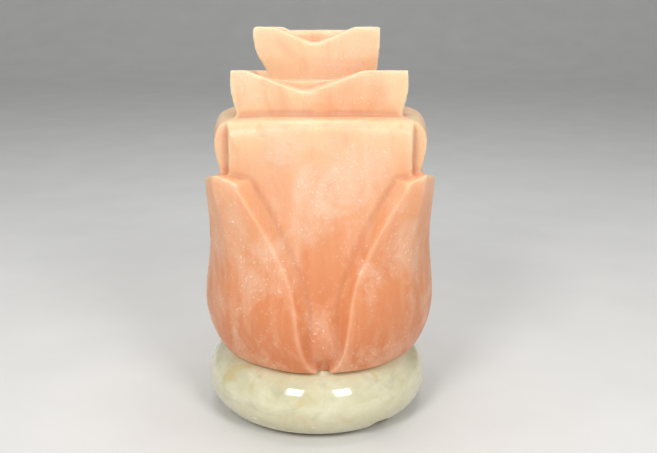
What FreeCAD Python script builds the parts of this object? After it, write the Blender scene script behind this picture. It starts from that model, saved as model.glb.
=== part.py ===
import FreeCAD, Part
import Sketcher
import math
import os

# Salt crystal lamp: a rose-bud salt crystal on a round stone base, lit from inside by a
# small screw-in bulb. The bulb's holder stands on a spring clip that is pushed up into the
# crystal's bore from below. Millimetres, +Z up, the origin on the floor under the middle
# of the base, the front towards -Y.

DIMENSIONS = {
    # Stone base, a turned and polished ring with a cord slot in its rim
    "base_diameter": 120.0,
    "base_height": 35.3,
    "base_widest_rise": 16.0,
    "base_foot_radius": 43.0,
    "base_seat_radius": 46.6,
    "base_bore_radius": 23.0,
    "base_recess_radius": 33.5,
    "base_recess_depth": 12.0,
    "cord_slot_width": 11.5,
    "cord_slot_height": 7.0,
    "cord_slot_round": 3.0,
    "cord_slot_azimuth": 36.5,
    "pad_radius": 4.2,
    "pad_thickness": 1.2,
    # Screws that hold the base to the crystal
    "screw_radius": 2.0,
    "screw_length": 46.0,
    "screw_head_radius": 3.8,
    "screw_head_height": 2.6,
    "washer_radius": 4.4,
    "washer_thickness": 1.0,
    "plug_radius": 4.0,
    "plug_length": 30.0,
    "plug_clearance": 0.1,
    "screw_clearance": 0.5,
    # Salt crystal: rises are heights above its flat underside
    "foot_radius": 46.0,
    "belly_radius": 62.4,
    "belly_ridge": 45.0,
    "belly_rise": 29.5,
    "waist_rise": 55.5,
    "waist_width": 60.4,
    "waist_ridge": 45.4,
    "outer_tip_width": 65.0,
    "outer_tip_ridge": 51.0,
    "outer_top_rise": 103.0,
    "outer_tip_drop": 2.8,
    "petal_thickness": 8.0,
    "petal_gap_width": 5.5,
    "petal_gap_bend_rise": 41.5,
    "petal_gap_bend_radius": 68.0,
    "petal_gap_lean": 29.2,
    "petal_gap_shift": 2.0,
    "petal_bevel": 0.87,
    "middle_width": 51.2,
    "middle_ridge": 47.0,
    "middle_top_rise": 130.2,
    "middle_top_width": 54.2,
    "middle_top_ridge": 50.0,
    "middle_rim_fall": 3.5,
    "middle_groove": 7.5,
    "middle_lean": 1.8,
    "collar_top_rise": 151.5,
    "collar_width": 42.5,
    "collar_foot_width": 39.5,
    "collar_wall": 6.0,
    "collar_notch_width": 27.0,
    "collar_notch_depth": 10.6,
    "collar_notch_shift": -6.5,
    "collar_rim_fall": 6.0,
    "crown_top_rise": 170.8,
    "crown_width": 30.8,
    "crown_neck_width": 27.2,
    "crown_neck_shift": 2.6,
    "crown_sink": 3.0,
    "crown_rim_fall": 3.5,
    "crown_wall": 4.0,
    "crown_notch_width": 18.5,
    "crown_notch_depth": 8.3,
    "crown_notch_shift": -0.8,
    "bud_width": 19.5,
    "bud_drop": 1.6,
    "notch_bevel": 3.0,
    "crystal_lean": 1.2,
    "crystal_bore_radius": 20.5,
    "crystal_bore_depth": 98.0,
    "bore_tip_height": 4.0,
    # Spring clip: a plate and three bowed arms
    "clip_plate_rise": 16.0,
    "clip_plate_radius": 19.0,
    "clip_sheet": 0.8,
    "clip_plate_sheet": 1.2,
    "clip_arm_width": 8.0,
    "clip_arm_straight": 26.0,
    "clip_arm_bow": 14.0,
    "clip_arm_bow_rise": 1.4,
    "clip_arm_tip": 5.0,
    "clip_arm_tip_inset": 2.6,
    "running_gap": 0.3,
    # Threaded nipple and locknut, M10 x 1
    "nipple_radius": 5.0,
    "nipple_bore_radius": 3.6,
    "nipple_length": 16.0,
    "nut_width": 14.0,
    "nut_thickness": 3.0,
    "nut_margin": 2.5,
    "thread_clearance": 0.08,
    # Lamp holder for a 14 mm screw cap
    "holder_radius": 12.5,
    "holder_wall": 1.1,
    "cap_height": 11.8,
    "cap_floor": 2.3,
    "cap_chamfer": 2.4,
    "cap_boss_wall": 2.4,
    "cap_boss_height": 7.5,
    "spigot_height": 3.0,
    "spigot_wall": 1.4,
    "fit_clearance": 0.15,
    "sleeve_height": 34.8,
    "sleeve_lip": 1.8,
    "sleeve_lip_height": 1.6,
    "insert_floor": 8.0,
    "shell_bore_radius": 7.2,
    "shell_wall": 0.45,
    "shell_flange": 1.6,
    "shell_recess": 1.8,
    "contact_strip": 0.5,
    "contact_width": 4.0,
    "contact_rise": 3.7,
    "contact_reach": 4.2,
    "terminal_spacing": 13.0,
    "terminal_screw_radius": 1.5,
    "terminal_screw_length": 6.5,
    "terminal_head_radius": 2.4,
    "terminal_head_height": 1.6,
    # Bulb, 25 mm wide and 58 mm long
    "bulb_radius": 12.5,
    "bulb_length": 58.0,
    "bulb_cap_radius": 6.95,
    "bulb_cap_length": 16.0,
    "bulb_cap_wall": 0.3,
    "bulb_cap_taper": 1.2,
    "bulb_button_radius": 2.4,
    "bulb_button_height": 1.2,
    "bulb_insulator_height": 2.3,
    "bulb_insulator_flare": 0.7,
    "bulb_neck_length": 7.0,
    "bulb_shoulder_length": 18.0,
    "bulb_glass_wall": 0.8,
    "bulb_contact_gap": 0.2,
    "stem_radius": 2.0,
    "stem_flare_height": 1.0,
    "stem_height": 13.0,
    "stem_top_radius": 4.6,
    "stem_top_height": 1.5,
    "lead_radius": 0.4,
    "lead_length": 7.0,
    "filament_radius": 3.8,
    "filament_wire_radius": 0.25,
}

SCREW_COUNT = 3
ARM_COUNT = 3
NUT_SIDES = 6
MARGIN = 5.0  # how far a cutting tool reaches past the surface that it cuts
NO_BOW = 1e-6  # a side that bows by less than this is straight
SEAM = 0.005  # carved surfaces that run closer together than this are joined

doc = FreeCAD.newDocument("salt_crystal_lamp")
sheet = doc.addObject("Spreadsheet::Sheet", "sizes")


class Size:
    """A number together with the sheet formula that it comes from."""

    def __init__(self, value, formula):
        self.value = value
        self.formula = formula

    def __float__(self):
        return float(self.value)

    def joined(self, sign, other, value):
        return Size(value, f"({self.formula} {sign} {size(other).formula})")

    def __add__(self, other):
        return self.joined("+", other, self.value + float(other))

    def __sub__(self, other):
        return self.joined("-", other, self.value - float(other))

    def __mul__(self, other):
        return self.joined("*", other, self.value * float(other))

    def __truediv__(self, other):
        return self.joined("/", other, self.value / float(other))

    def __neg__(self):
        return Size(-self.value, f"(0 - {self.formula})")


def size(number):
    """The Size of a plain number, or the Size itself."""
    return number if isinstance(number, Size) else Size(float(number), repr(float(number)))


def root(number):
    return Size(math.sqrt(number.value), f"sqrt({number.formula})")


def sine(degrees):
    return Size(math.sin(math.radians(degrees.value)), f"sin({degrees.formula})")


def cosine(degrees):
    return Size(math.cos(math.radians(degrees.value)), f"cos({degrees.formula})")


def read_sizes():
    """Fill the sheet and hand each cell back as a Size under its own name."""
    for row, (name, value) in enumerate(DIMENSIONS.items(), start=1):
        sheet.set(f"A{row}", name)
        sheet.set(f"B{row}", str(value))
        sheet.setAlias(f"B{row}", name)
    doc.recompute()
    return {name: Size(float(sheet.get(name)), f"sizes.{name}") for name in DIMENSIONS}


class Named:
    """Gives every size in the sheet as an attribute."""

    def __init__(self, sizes):
        self.__dict__.update(sizes)


d = Named(read_sizes())


# ---------------------------------------------------------------- general helpers

def bind(thing, path, amount):
    """Tie one property of an object to the sheet."""
    thing.setExpression(path, size(amount).formula)


def place(thing, x=0.0, y=0.0, z=0.0, turn=None):
    """Put an object at a point and turn it about the upright axis, tied to the sheet."""
    degrees = float(turn) if turn is not None else 0.0
    thing.Placement = FreeCAD.Placement(
        FreeCAD.Vector(float(x), float(y), float(z)),
        FreeCAD.Rotation(FreeCAD.Vector(0, 0, 1), degrees),
    )
    for letter, amount in (("x", x), ("y", y), ("z", z)):
        if isinstance(amount, Size):
            bind(thing, f"Placement.Base.{letter}", amount)
    if isinstance(turn, Size):
        bind(thing, "Placement.Rotation.Angle", turn)
    return thing


def at_azimuth(thing, radius, azimuth, z=0.0, turned=False):
    """Put an object at a radius, at an azimuth counted from the front towards the right."""
    turn = azimuth if turned else None
    return place(thing, radius * sine(azimuth), -(radius * cosine(azimuth)), z, turn)


def origin_plane(body, role):
    return [f for f in body.Origin.OriginFeatures if f.Role == role][0]


def new_body(name):
    body = doc.addObject("PartDesign::Body", name)
    body.Label = name
    return body


def new_sketch(body, name, role):
    sketch = body.newObject("Sketcher::SketchObject", name)
    sketch.AttachmentSupport = (origin_plane(body, role), [""])
    sketch.MapMode = "FlatFace"
    return sketch


def arc_between(start, end, radius, side):
    """Sketch arc from start to end; its centre is on the left of the way for side 1."""
    chord = end - start
    normal = FreeCAD.Vector(-chord.y, chord.x, 0) / chord.Length
    reach = math.sqrt(max(radius ** 2 - (chord.Length / 2) ** 2, 0.0))
    centre = start + chord / 2 + normal * (reach * side)
    first, last = (start, end) if side > 0 else (end, start)
    angles = [math.atan2(p.y - centre.y, p.x - centre.x) for p in (first, last)]
    circle = Part.Circle(centre, FreeCAD.Vector(0, 0, 1), radius)
    return Part.ArcOfCircle(circle, angles[0], angles[1])


def draw_outline(sketch, points, arcs=None):
    """Draw a closed outline. Each point is (across, up); arcs gives an edge's radius and
    the side of its centre. Every corner and radius is tied to the sheet."""
    arcs = arcs or {}
    spots = [FreeCAD.Vector(float(x), float(y), 0) for x, y in points]
    count = len(spots)
    ends = []
    for i in range(count):
        start, end = spots[i], spots[(i + 1) % count]
        if i in arcs:
            radius, side = arcs[i]
            edge = sketch.addGeometry(arc_between(start, end, float(radius), side))
            ends.append((edge, 1, 2) if side > 0 else (edge, 2, 1))
        else:
            edge = sketch.addGeometry(Part.LineSegment(start, end))
            ends.append((edge, 1, 2))
    for i in range(count):
        edge, head, tail = ends[i]
        following, next_head, _ = ends[(i + 1) % count]
        sketch.addConstraint(Sketcher.Constraint("Coincident", edge, tail, following, next_head))
    for i, (across, up) in enumerate(points):
        edge, head, _ = ends[i]
        for kind, amount, axis in (("DistanceX", across, -2), ("DistanceY", up, -1)):
            if float(amount) == 0.0:
                sketch.addConstraint(Sketcher.Constraint("PointOnObject", edge, head, axis))
                continue
            number = sketch.addConstraint(
                Sketcher.Constraint(kind, -1, 1, edge, head, float(amount)))
            bind(sketch, f"Constraints[{number}]", amount)
    for i, (radius, _) in arcs.items():
        number = sketch.addConstraint(
            Sketcher.Constraint("Radius", ends[i][0], float(radius)))
        bind(sketch, f"Constraints[{number}]", radius)
    return sketch


def turned(name, points, arcs=None):
    """A body turned about the upright axis from an outline of (radius, height) points."""
    body = new_body(name)
    sketch = draw_outline(new_sketch(body, name + "_outline", "XZ_Plane"), points, arcs)
    turn = body.newObject("PartDesign::Revolution", name + "_turn")
    turn.Profile = sketch
    turn.ReferenceAxis = (sketch, ["V_Axis"])
    turn.Angle = 360
    sketch.Visibility = False
    return body


def padded(name, points, width, arcs=None):
    """A body pressed from an outline in the XZ plane, to both sides of that plane."""
    body = new_body(name)
    sketch = draw_outline(new_sketch(body, name + "_outline", "XZ_Plane"), points, arcs)
    pad = body.newObject("PartDesign::Pad", name + "_pad")
    pad.Profile = sketch
    pad.Midplane = True
    pad.Length = float(width)
    bind(pad, "Length", width)
    return body


def group(name, members):
    """Identical separate pieces under one name."""
    holder = doc.addObject("Part::Compound", name)
    holder.Label = name
    holder.Links = members
    return holder


# ---------------------------------------------------------------- levels and radii

stone_underside = d.pad_thickness
seat = stone_underside + d.base_height
recess_ceiling = stone_underside + d.base_recess_depth
screw_circle = (d.base_bore_radius + d.base_recess_radius) / 2
pad_circle = (d.base_foot_radius + d.base_recess_radius) / 2
THIRDS = [360.0 / SCREW_COUNT * (i + 0.5) for i in range(SCREW_COUNT)]
screw_azimuths = [d.cord_slot_azimuth + third for third in THIRDS]


# ---------------------------------------------------------------- stone base

def make_stone_base():
    """The ring is turned; its slot is cut towards the front and the body then turned."""
    rim = d.base_diameter / 2
    widest = stone_underside + d.base_widest_rise
    below = d.base_widest_rise
    above = d.base_height - d.base_widest_rise
    foot_step = rim - d.base_foot_radius
    seat_step = rim - d.base_seat_radius
    lower_round = (foot_step * foot_step + below * below) / (foot_step * 2)
    upper_round = (seat_step * seat_step + above * above) / (seat_step * 2)
    body = turned("stone_base", [
        (d.base_recess_radius, stone_underside),
        (d.base_foot_radius, stone_underside),
        (rim, widest),
        (d.base_seat_radius, seat),
        (d.base_bore_radius, seat),
        (d.base_bore_radius, recess_ceiling),
        (d.base_recess_radius, recess_ceiling),
    ], {1: (lower_round, 1), 2: (upper_round, 1)})

    slot = new_sketch(body, "cord_slot_outline", "XZ_Plane")
    side = d.cord_slot_width / 2
    top = stone_underside + d.cord_slot_height
    shoulder = top - d.cord_slot_round
    inset = side - d.cord_slot_round
    draw_outline(slot, [
        (-side, size(-MARGIN)), (side, size(-MARGIN)), (side, shoulder), (inset, top),
        (-inset, top), (-side, shoulder),
    ], {2: (d.cord_slot_round, 1), 4: (d.cord_slot_round, 1)})
    cut = body.newObject("PartDesign::Pocket", "cord_slot")
    cut.Profile = slot
    cut.Reversed = True
    cut.Length = float(rim + MARGIN)
    bind(cut, "Length", rim + MARGIN)

    hole = new_sketch(body, "screw_hole_outline", "XY_Plane")
    draw_hole(hole, screw_circle, d.screw_radius + d.screw_clearance)
    drilled = body.newObject("PartDesign::Pocket", "screw_hole")
    drilled.Profile = hole
    drilled.Reversed = True
    drilled.Length = float(seat + MARGIN)
    bind(drilled, "Length", seat + MARGIN)
    pattern = body.newObject("PartDesign::PolarPattern", "screw_holes")
    pattern.Originals = [drilled]
    pattern.Axis = (hole, ["N_Axis"])
    pattern.Angle = 360
    pattern.Occurrences = SCREW_COUNT
    body.Tip = pattern
    return place(body, turn=d.cord_slot_azimuth)


def draw_hole(sketch, away, radius):
    """A circle behind the axis, opposite the cord slot, where one of the screws goes."""
    centre = FreeCAD.Vector(0, float(away), 0)
    circle = Part.Circle(centre, FreeCAD.Vector(0, 0, 1), float(radius))
    edge = sketch.addGeometry(circle)
    sketch.addConstraint(Sketcher.Constraint("PointOnObject", edge, 3, -2))
    number = sketch.addConstraint(
        Sketcher.Constraint("DistanceY", -1, 1, edge, 3, float(away)))
    bind(sketch, f"Constraints[{number}]", away)
    number = sketch.addConstraint(Sketcher.Constraint("Radius", edge, float(radius)))
    bind(sketch, f"Constraints[{number}]", radius)


def make_felt_pads():
    pads = []
    for i, azimuth in enumerate(screw_azimuths):
        pad = doc.addObject("Part::Cylinder", f"felt_pad_{i + 1}")
        bind(pad, "Radius", d.pad_radius)
        bind(pad, "Height", d.pad_thickness)
        pads.append(at_azimuth(pad, pad_circle, azimuth))
    return group("felt_pads", pads)


# ---------------------------------------------------------------- screws and plugs

def make_base_screws():
    """Pan-headed screws that stand head down in the recess."""
    shank = d.screw_radius
    head = d.screw_head_radius
    head_top = recess_ceiling - d.washer_thickness
    head_bottom = head_top - d.screw_head_height
    tip = head_top + d.screw_length
    screws = []
    for i, azimuth in enumerate(screw_azimuths):
        screw = turned(f"base_screw_{i + 1}", [
            (0, head_bottom), (head * 0.7, head_bottom), (head, head_bottom + head * 0.3),
            (head, head_top), (shank, head_top), (shank, tip - shank * 2), (0, tip),
        ])
        screws.append(at_azimuth(screw, screw_circle, azimuth))
    return group("base_screws", screws)


def make_screw_washers():
    bottom = recess_ceiling - d.washer_thickness
    hole = d.screw_radius + d.plug_clearance
    washers = []
    for i, azimuth in enumerate(screw_azimuths):
        washer = turned(f"screw_washer_{i + 1}", [
            (hole, bottom), (d.washer_radius, bottom),
            (d.washer_radius, recess_ceiling), (hole, recess_ceiling),
        ])
        washers.append(at_azimuth(washer, screw_circle, azimuth))
    return group("screw_washers", washers)


def make_screw_plugs():
    bore = d.screw_radius + d.plug_clearance
    top = seat + d.plug_length
    plugs = []
    for i, azimuth in enumerate(screw_azimuths):
        plug = turned(f"screw_plug_{i + 1}", [
            (bore, seat), (d.plug_radius, seat), (d.plug_radius, top), (bore, top),
        ])
        plugs.append(at_azimuth(plug, screw_circle, azimuth))
    return group("screw_plugs", plugs)


# ---------------------------------------------------------------- salt crystal

def cushion(rise, width, ridge, shift=0.0):
    """Square section with bowed sides: width is half its breadth across the middle of the
    sides and ridge half its breadth at the corners, which a circle has at 0.7 width."""
    height = float(seat) + float(rise)
    half, corner = float(width), float(ridge)
    spots = [(-corner, -corner), (corner, -corner), (corner, corner), (-corner, corner)]
    middles = [(0, -half), (half, 0), (0, half), (-half, 0)]
    edges = []
    for i, (x, y) in enumerate(middles):
        points = [FreeCAD.Vector(px + float(shift), py, height)
                  for px, py in (spots[i], (x, y), spots[(i + 1) % 4])]
        if abs(half - corner) < NO_BOW:
            edges.append(Part.makeLine(points[0], points[2]))
        else:
            edges.append(Part.Arc(*points).toShape())
    return Part.Wire(edges)


def rounded(rise, radius, shift=0.0):
    return cushion(rise, radius, float(radius) / math.sqrt(2), shift)


def between(first, last, share):
    return float(first) + (float(last) - float(first)) * share


def tipped(shape, front, rise, degrees):
    """Tip a shape backwards about the front edge of a rim, so that the rim falls behind."""
    pivot = FreeCAD.Vector(0, -float(front), float(seat) + float(rise))
    shape.rotate(pivot, FreeCAD.Vector(1, 0, 0), -float(degrees))
    return shape


# Sections of each tier from the bottom up: the share of its height, then of its flare
BELLY_SHARES = (0.0, 0.1, 0.3, 0.6)
OUTER_FLARE = ((0.32, 0.16), (0.62, 0.6), (0.87, 1.0), (1.0, 1.0))
COLLAR_FLARE = ((-0.2, -0.1), (0.1, 0.35), (0.48, 0.9), (0.74, 1.02), (1.0, 0.9))
CROWN_FLARE = ((0.0, 0.0), (0.3, 0.0), (0.42, 0.25), (0.54, 0.6), (0.68, 0.85),
               (0.93, 1.0), (1.0, 0.93))
# Rounded rims from the bottom up: the drop below the top, then how far the middles of the
# sides and the corners are drawn in
MIDDLE_RIM = ((10.0, 0.0, 0.0), (5.0, 0.6, 2.0), (2.0, 2.2, 5.0), (0.6, 5.0, 8.5),
              (0.0, 9.0, 12.0))
BUD_RIM = [(2.0, 0.0), (0.5, 0.6), (0.0, 2.0)]
BUD_RIDGE = 0.88  # corner ridge of the bud as a share of its width
SIDE_HOLLOW = 0.4  # how far the sides of the two collars are dished
OVERLAP = 1.0  # how far one carved form reaches into the next
MIDDLE_STRAIGHT = 0.6  # share of the way from the waist to the outer tips where it is narrowest
MIDDLE_FLARE = 0.3  # share of its flare that the second tier has at the outer tips
BEVEL_START = 0.4  # share of a petal's thickness at which the bevel of its edge starts
GROOVE_DEPTH = 0.7  # depth of a corner groove as a share of its width
NOTCH_ROUND = 0.45  # radius at the bottom of a V notch as a share of its half width
HOLLOW_DRAFT = 2.0  # how much the hollow of the crown narrows towards its floor


def outer_petals(shift):
    """The lowest tier before its gaps are cut: a round belly that flares into a cup with
    a ridge at each corner."""
    wires = []
    for share in BELLY_SHARES:
        swell = math.sqrt(1 - (1 - share) ** 2)
        radius = between(d.foot_radius, d.belly_radius, swell)
        wires.append(rounded(float(d.belly_rise) * share, radius, shift))
    wires.append(cushion(d.belly_rise, d.belly_radius, d.belly_ridge, shift))
    wires.append(cushion(d.waist_rise, d.waist_width, d.waist_ridge, shift))
    for share, flare in OUTER_FLARE:
        wires.append(cushion(between(d.waist_rise, d.outer_top_rise, share),
                             between(d.waist_width, d.outer_tip_width, flare),
                             between(d.waist_ridge, d.outer_tip_ridge, flare), shift))
    return Part.makeLoft(wires, True)


def gap_outline(away, offset, shift):
    """Outline of the gap between two outer petals: an upright channel that opens upwards
    into a wide V through a long bend. Offset moves the whole edge outwards."""
    lean = math.radians(float(d.petal_gap_lean))
    half = float(d.petal_gap_width) + offset
    bend = float(d.petal_gap_bend_rise) - offset * math.tan(lean / 2)
    reach = (float(d.petal_gap_bend_radius) + offset) * math.tan(lean / 2)
    top = float(d.outer_top_rise) + MARGIN
    low = -MARGIN

    def edge(height):
        return half + (height - bend) * math.tan(lean)

    turn_end = bend + reach * math.cos(lean)
    shoulder = float(d.outer_top_rise) - float(d.outer_tip_drop)
    tip = float(d.outer_tip_ridge) + OVERLAP
    swing = (float(d.petal_gap_bend_radius) + offset) * (1 - math.cos(lean / 2))
    middle_rise = bend - reach + (float(d.petal_gap_bend_radius) + offset) * math.sin(lean / 2)
    right = [(half, low), (half, bend - reach), (half + swing, middle_rise),
             (edge(turn_end), turn_end), (edge(shoulder), shoulder),
             (tip + offset, float(d.outer_top_rise)), (tip + offset, top)]

    def spot(point, mirror):
        return FreeCAD.Vector(shift + point[0] * mirror, -away, float(seat) + point[1])

    edges = []
    for mirror, order in ((1, 1), (-1, -1)):
        points = [spot(point, mirror) for point in right]
        side = [Part.makeLine(points[0], points[1]),
                Part.Arc(points[1], points[2], points[3]).toShape(),
                *[Part.makeLine(*points[i:i + 2]) for i in (3, 4, 5)]]
        edges.append(side if order > 0 else side[::-1])
    cap = Part.makeLine(spot(right[-1], 1), spot(right[-1], -1))
    floor = Part.makeLine(spot(right[0], -1), spot(right[0], 1))
    return Part.Wire(edges[0] + [cap] + edges[1] + [floor])


def petal_gap(shift):
    """Cutter for one gap, with its sides bevelled so that the petal's edge faces out."""
    bevel = float(d.petal_bevel)
    face = float(d.middle_width)
    inner = face - float(d.petal_thickness)
    outer = max(float(d.belly_radius), float(d.waist_width), float(d.outer_tip_width)) + MARGIN
    narrow = -bevel * float(d.petal_thickness) * BEVEL_START
    wires = [
        gap_outline(inner, narrow, shift),
        gap_outline(face - OVERLAP, narrow, shift),
        gap_outline(outer, narrow + bevel * (outer - face + OVERLAP), shift),
    ]
    return Part.makeLoft(wires, True, True)


def around(shape, count=4):
    """Copies of a shape turned about the upright axis."""
    copies = []
    for i in range(count):
        copy = shape.copy()
        copy.rotate(FreeCAD.Vector(0, 0, 0), FreeCAD.Vector(0, 0, 1), 360.0 / count * i)
        copies.append(copy)
    return copies


def moved(shapes, shift):
    for shape in shapes:
        shape.translate(FreeCAD.Vector(float(shift), 0, 0))
    return shapes


def middle_petals(shift):
    """The second tier: its faces run down inside the gaps of the outer petals, and a
    groove at each corner parts it into four petals with rounded tips."""
    thick = float(d.petal_thickness)
    top = float(d.middle_top_rise)
    inset = (float(d.outer_tip_ridge) - float(d.middle_ridge)) / 2
    rising = between(d.waist_rise, d.outer_top_rise, MIDDLE_STRAIGHT)
    wires = [
        rounded(0, float(d.foot_radius) - inset, shift),
        rounded(float(d.belly_rise) * BELLY_SHARES[2],
                float(d.belly_radius) - thick - inset, shift),
        rounded(d.belly_rise, float(d.belly_radius) - thick, shift),
        cushion(d.waist_rise, float(d.waist_width) - thick,
                float(d.waist_ridge) - inset, shift),
        cushion(rising, d.middle_width, float(d.middle_ridge) - inset, shift),
        cushion(d.outer_top_rise, between(d.middle_width, d.middle_top_width, MIDDLE_FLARE),
                between(d.middle_ridge, d.middle_top_ridge, MIDDLE_FLARE), shift),
    ]
    for drop, side, corner in MIDDLE_RIM:
        wires.append(cushion(top - drop, float(d.middle_top_width) - side,
                             float(d.middle_top_ridge) - corner, shift))
    body = Part.makeLoft(wires, True)
    groove = float(d.middle_groove)
    outside = float(d.middle_top_width) + MARGIN
    corner = float(d.middle_top_ridge)
    apex = corner - groove * GROOVE_DEPTH
    low = float(seat) + float(d.waist_rise)
    outline = [(apex, -apex), (corner - groove, -outside), (outside, -outside),
               (outside, groove - corner), (apex, -apex)]
    face = Part.Face(Part.makePolygon([FreeCAD.Vector(x, y, low) for x, y in outline]))
    cutter = face.extrude(FreeCAD.Vector(0, 0, top + MARGIN))
    petals = body.cut(moved(around(cutter), shift))
    fallen = slanted(petals, float(d.middle_top_width), float(d.middle_rim_fall))
    across = (float(d.belly_radius) + MARGIN) * 2
    under = FreeCAD.Vector(-across / 2, -across / 2, float(seat) - across)
    return fallen.cut(Part.makeBox(across, across, across, under))


def slanted(shape, front, degrees):
    """Slide a shape's upright lines down, the more the further they are behind its front,
    so that its walls stay upright while its rim falls to the back."""
    slope = math.tan(math.radians(degrees))
    slant = FreeCAD.Matrix()
    slant.A32 = -slope
    slant.A34 = -slope * front
    return shape.transformGeometry(slant)


def notch_outline(away, half, depth, top, shift):
    """A shallow V with a round bottom, open at the top."""
    round_radius = half * NOTCH_ROUND
    slope = math.atan2(depth, half)
    run = round_radius * math.tan(slope)
    over = (depth + MARGIN) / depth
    apex = float(seat) + top - depth
    tangent = (run * math.cos(slope), run * math.sin(slope))
    sag = round_radius / math.cos(slope) - round_radius

    def spot(x, rise):
        return FreeCAD.Vector(shift + x, -away, apex + rise)

    left_end, right_end = spot(-half * over, depth * over), spot(half * over, depth * over)
    left, right = spot(-tangent[0], tangent[1]), spot(tangent[0], tangent[1])
    return Part.Wire([
        Part.makeLine(left_end, left),
        Part.Arc(left, spot(0, sag), right).toShape(),
        Part.makeLine(right, right_end),
        Part.makeLine(right_end, left_end),
    ])


def notches(width, wall, half, depth, top, shift):
    """Cutters for the V notches of a collar; their floor slopes down and outwards."""
    inner, outer = width - wall - HOLLOW_DRAFT - OVERLAP, width + HOLLOW_DRAFT
    share = (outer - inner) / wall
    fall = float(d.notch_bevel) * BEVEL_START
    wires = [
        notch_outline(inner, half, depth - fall, top, shift),
        notch_outline(outer, half + fall, depth - fall + fall * share, top, shift),
    ]
    return around(Part.makeLoft(wires, True, True))


def flared(low, top, narrow, wide, sections, lean, foot_lean, fall):
    """A square tier that widens upwards; its rim falls to the back and its foot stands off
    to one side."""
    wires = []
    for share, flare in sections:
        ridge = between(narrow, wide, flare)
        shift = between(foot_lean, lean, max(flare, 0.0))
        section = cushion(between(low, top, share), ridge - SIDE_HOLLOW, ridge, shift)
        wires.append(tipped(section, wide, top, float(fall) * max(share, 0.0)))
    return Part.makeLoft(wires, True)


def collar(shift):
    """The third tier: a flared square collar with a hollow inside and a V in each side."""
    top, width, wall = float(d.collar_top_rise), float(d.collar_width), float(d.collar_wall)
    depth = float(d.collar_notch_depth)
    floor = float(d.crown_neck_width) + OVERLAP
    body = flared(d.middle_top_rise, top, d.collar_foot_width, width, COLLAR_FLARE,
                  shift, shift, d.collar_rim_fall)
    hollow = Part.makeLoft([
        cushion(top - depth - OVERLAP, floor, floor, shift),
        cushion(top + OVERLAP, width - wall, width - wall, shift),
    ], True)
    cutters = moved(notches(width, wall, float(d.collar_notch_width), depth, top,
                            float(d.collar_notch_shift)), shift)
    return body.cut([tipped(tool, width, top, d.collar_rim_fall)
                     for tool in [hollow] + cutters])


def crown():
    """The top tier: a small undercut collar around the inner bud."""
    top, width, wall = float(d.crown_top_rise), float(d.crown_width), float(d.crown_wall)
    depth = float(d.crown_notch_depth)
    low = float(d.collar_top_rise) - float(d.collar_notch_depth) - float(d.crown_sink)
    body = flared(low, top, d.crown_neck_width, width, CROWN_FLARE, 0.0,
                  d.crown_neck_shift, d.crown_rim_fall)
    inside = width - wall
    hollow = Part.makeLoft([
        cushion(top - depth - OVERLAP, inside - HOLLOW_DRAFT, inside - HOLLOW_DRAFT),
        cushion(top + OVERLAP, inside, inside),
    ], True)
    cutters = notches(width, wall, float(d.crown_notch_width), depth, top,
                      float(d.crown_notch_shift))
    body = body.cut([tipped(tool, width, top, d.crown_rim_fall)
                     for tool in [hollow] + cutters])
    bud_top = top - float(d.bud_drop)
    half = float(d.bud_width)
    bud = Part.makeLoft([
        cushion(bud_top - drop, half - inset, half * BUD_RIDGE - inset)
        for drop, inset in [(depth + OVERLAP, 0.0)] + BUD_RIM
    ], True)
    return body.fuse(tipped(bud, width, top, d.crown_rim_fall))


def make_salt_crystal():
    shift = float(d.crystal_lean)
    outer = outer_petals(shift)
    gap = petal_gap(0.0)
    gap.translate(FreeCAD.Vector(float(d.petal_gap_shift), 0, 0))
    outer = outer.cut(moved(around(gap), shift))
    inner_tiers = [middle_petals(float(d.middle_lean)), collar(shift), crown()]
    shape = outer.fuse(inner_tiers, SEAM)
    bottom = FreeCAD.Vector(0, 0, float(seat))
    up = FreeCAD.Vector(0, 0, 1)
    bore_radius = float(d.crystal_bore_radius)
    depth = float(d.crystal_bore_depth)
    tip = float(d.bore_tip_height)
    bore = Part.makeCylinder(bore_radius, depth, bottom, up).fuse(
        Part.makeCone(bore_radius, bore_radius * 0.4, tip, bottom + up * depth, up))
    holes = [bore]
    plug_hole = float(d.plug_radius) + float(d.plug_clearance)
    for azimuth in screw_azimuths:
        angle = math.radians(float(azimuth))
        away = float(screw_circle)
        spot = FreeCAD.Vector(away * math.sin(angle), -away * math.cos(angle), float(seat))
        holes.append(Part.makeCylinder(
            plug_hole, float(d.plug_length) + float(d.plug_clearance), spot, up))
    shape = shape.cut(holes)
    solids = shape.Solids
    feature = doc.addObject("Part::Feature", "salt_crystal")
    feature.Label = "salt_crystal"
    feature.Shape = solids[0] if len(solids) == 1 else shape
    return place(feature)


# ---------------------------------------------------------------- spring clip

plate_top = stone_underside + d.clip_plate_rise
plate_bottom = plate_top - d.clip_plate_sheet
arm_azimuths = [d.cord_slot_azimuth + 360.0 / ARM_COUNT * i for i in range(ARM_COUNT)]


def make_clip_plate():
    hole = d.nipple_radius + d.thread_clearance
    return place(turned("clip_plate", [
        (hole, plate_bottom), (d.clip_plate_radius, plate_bottom),
        (d.clip_plate_radius, plate_top), (hole, plate_top),
    ]))


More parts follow.
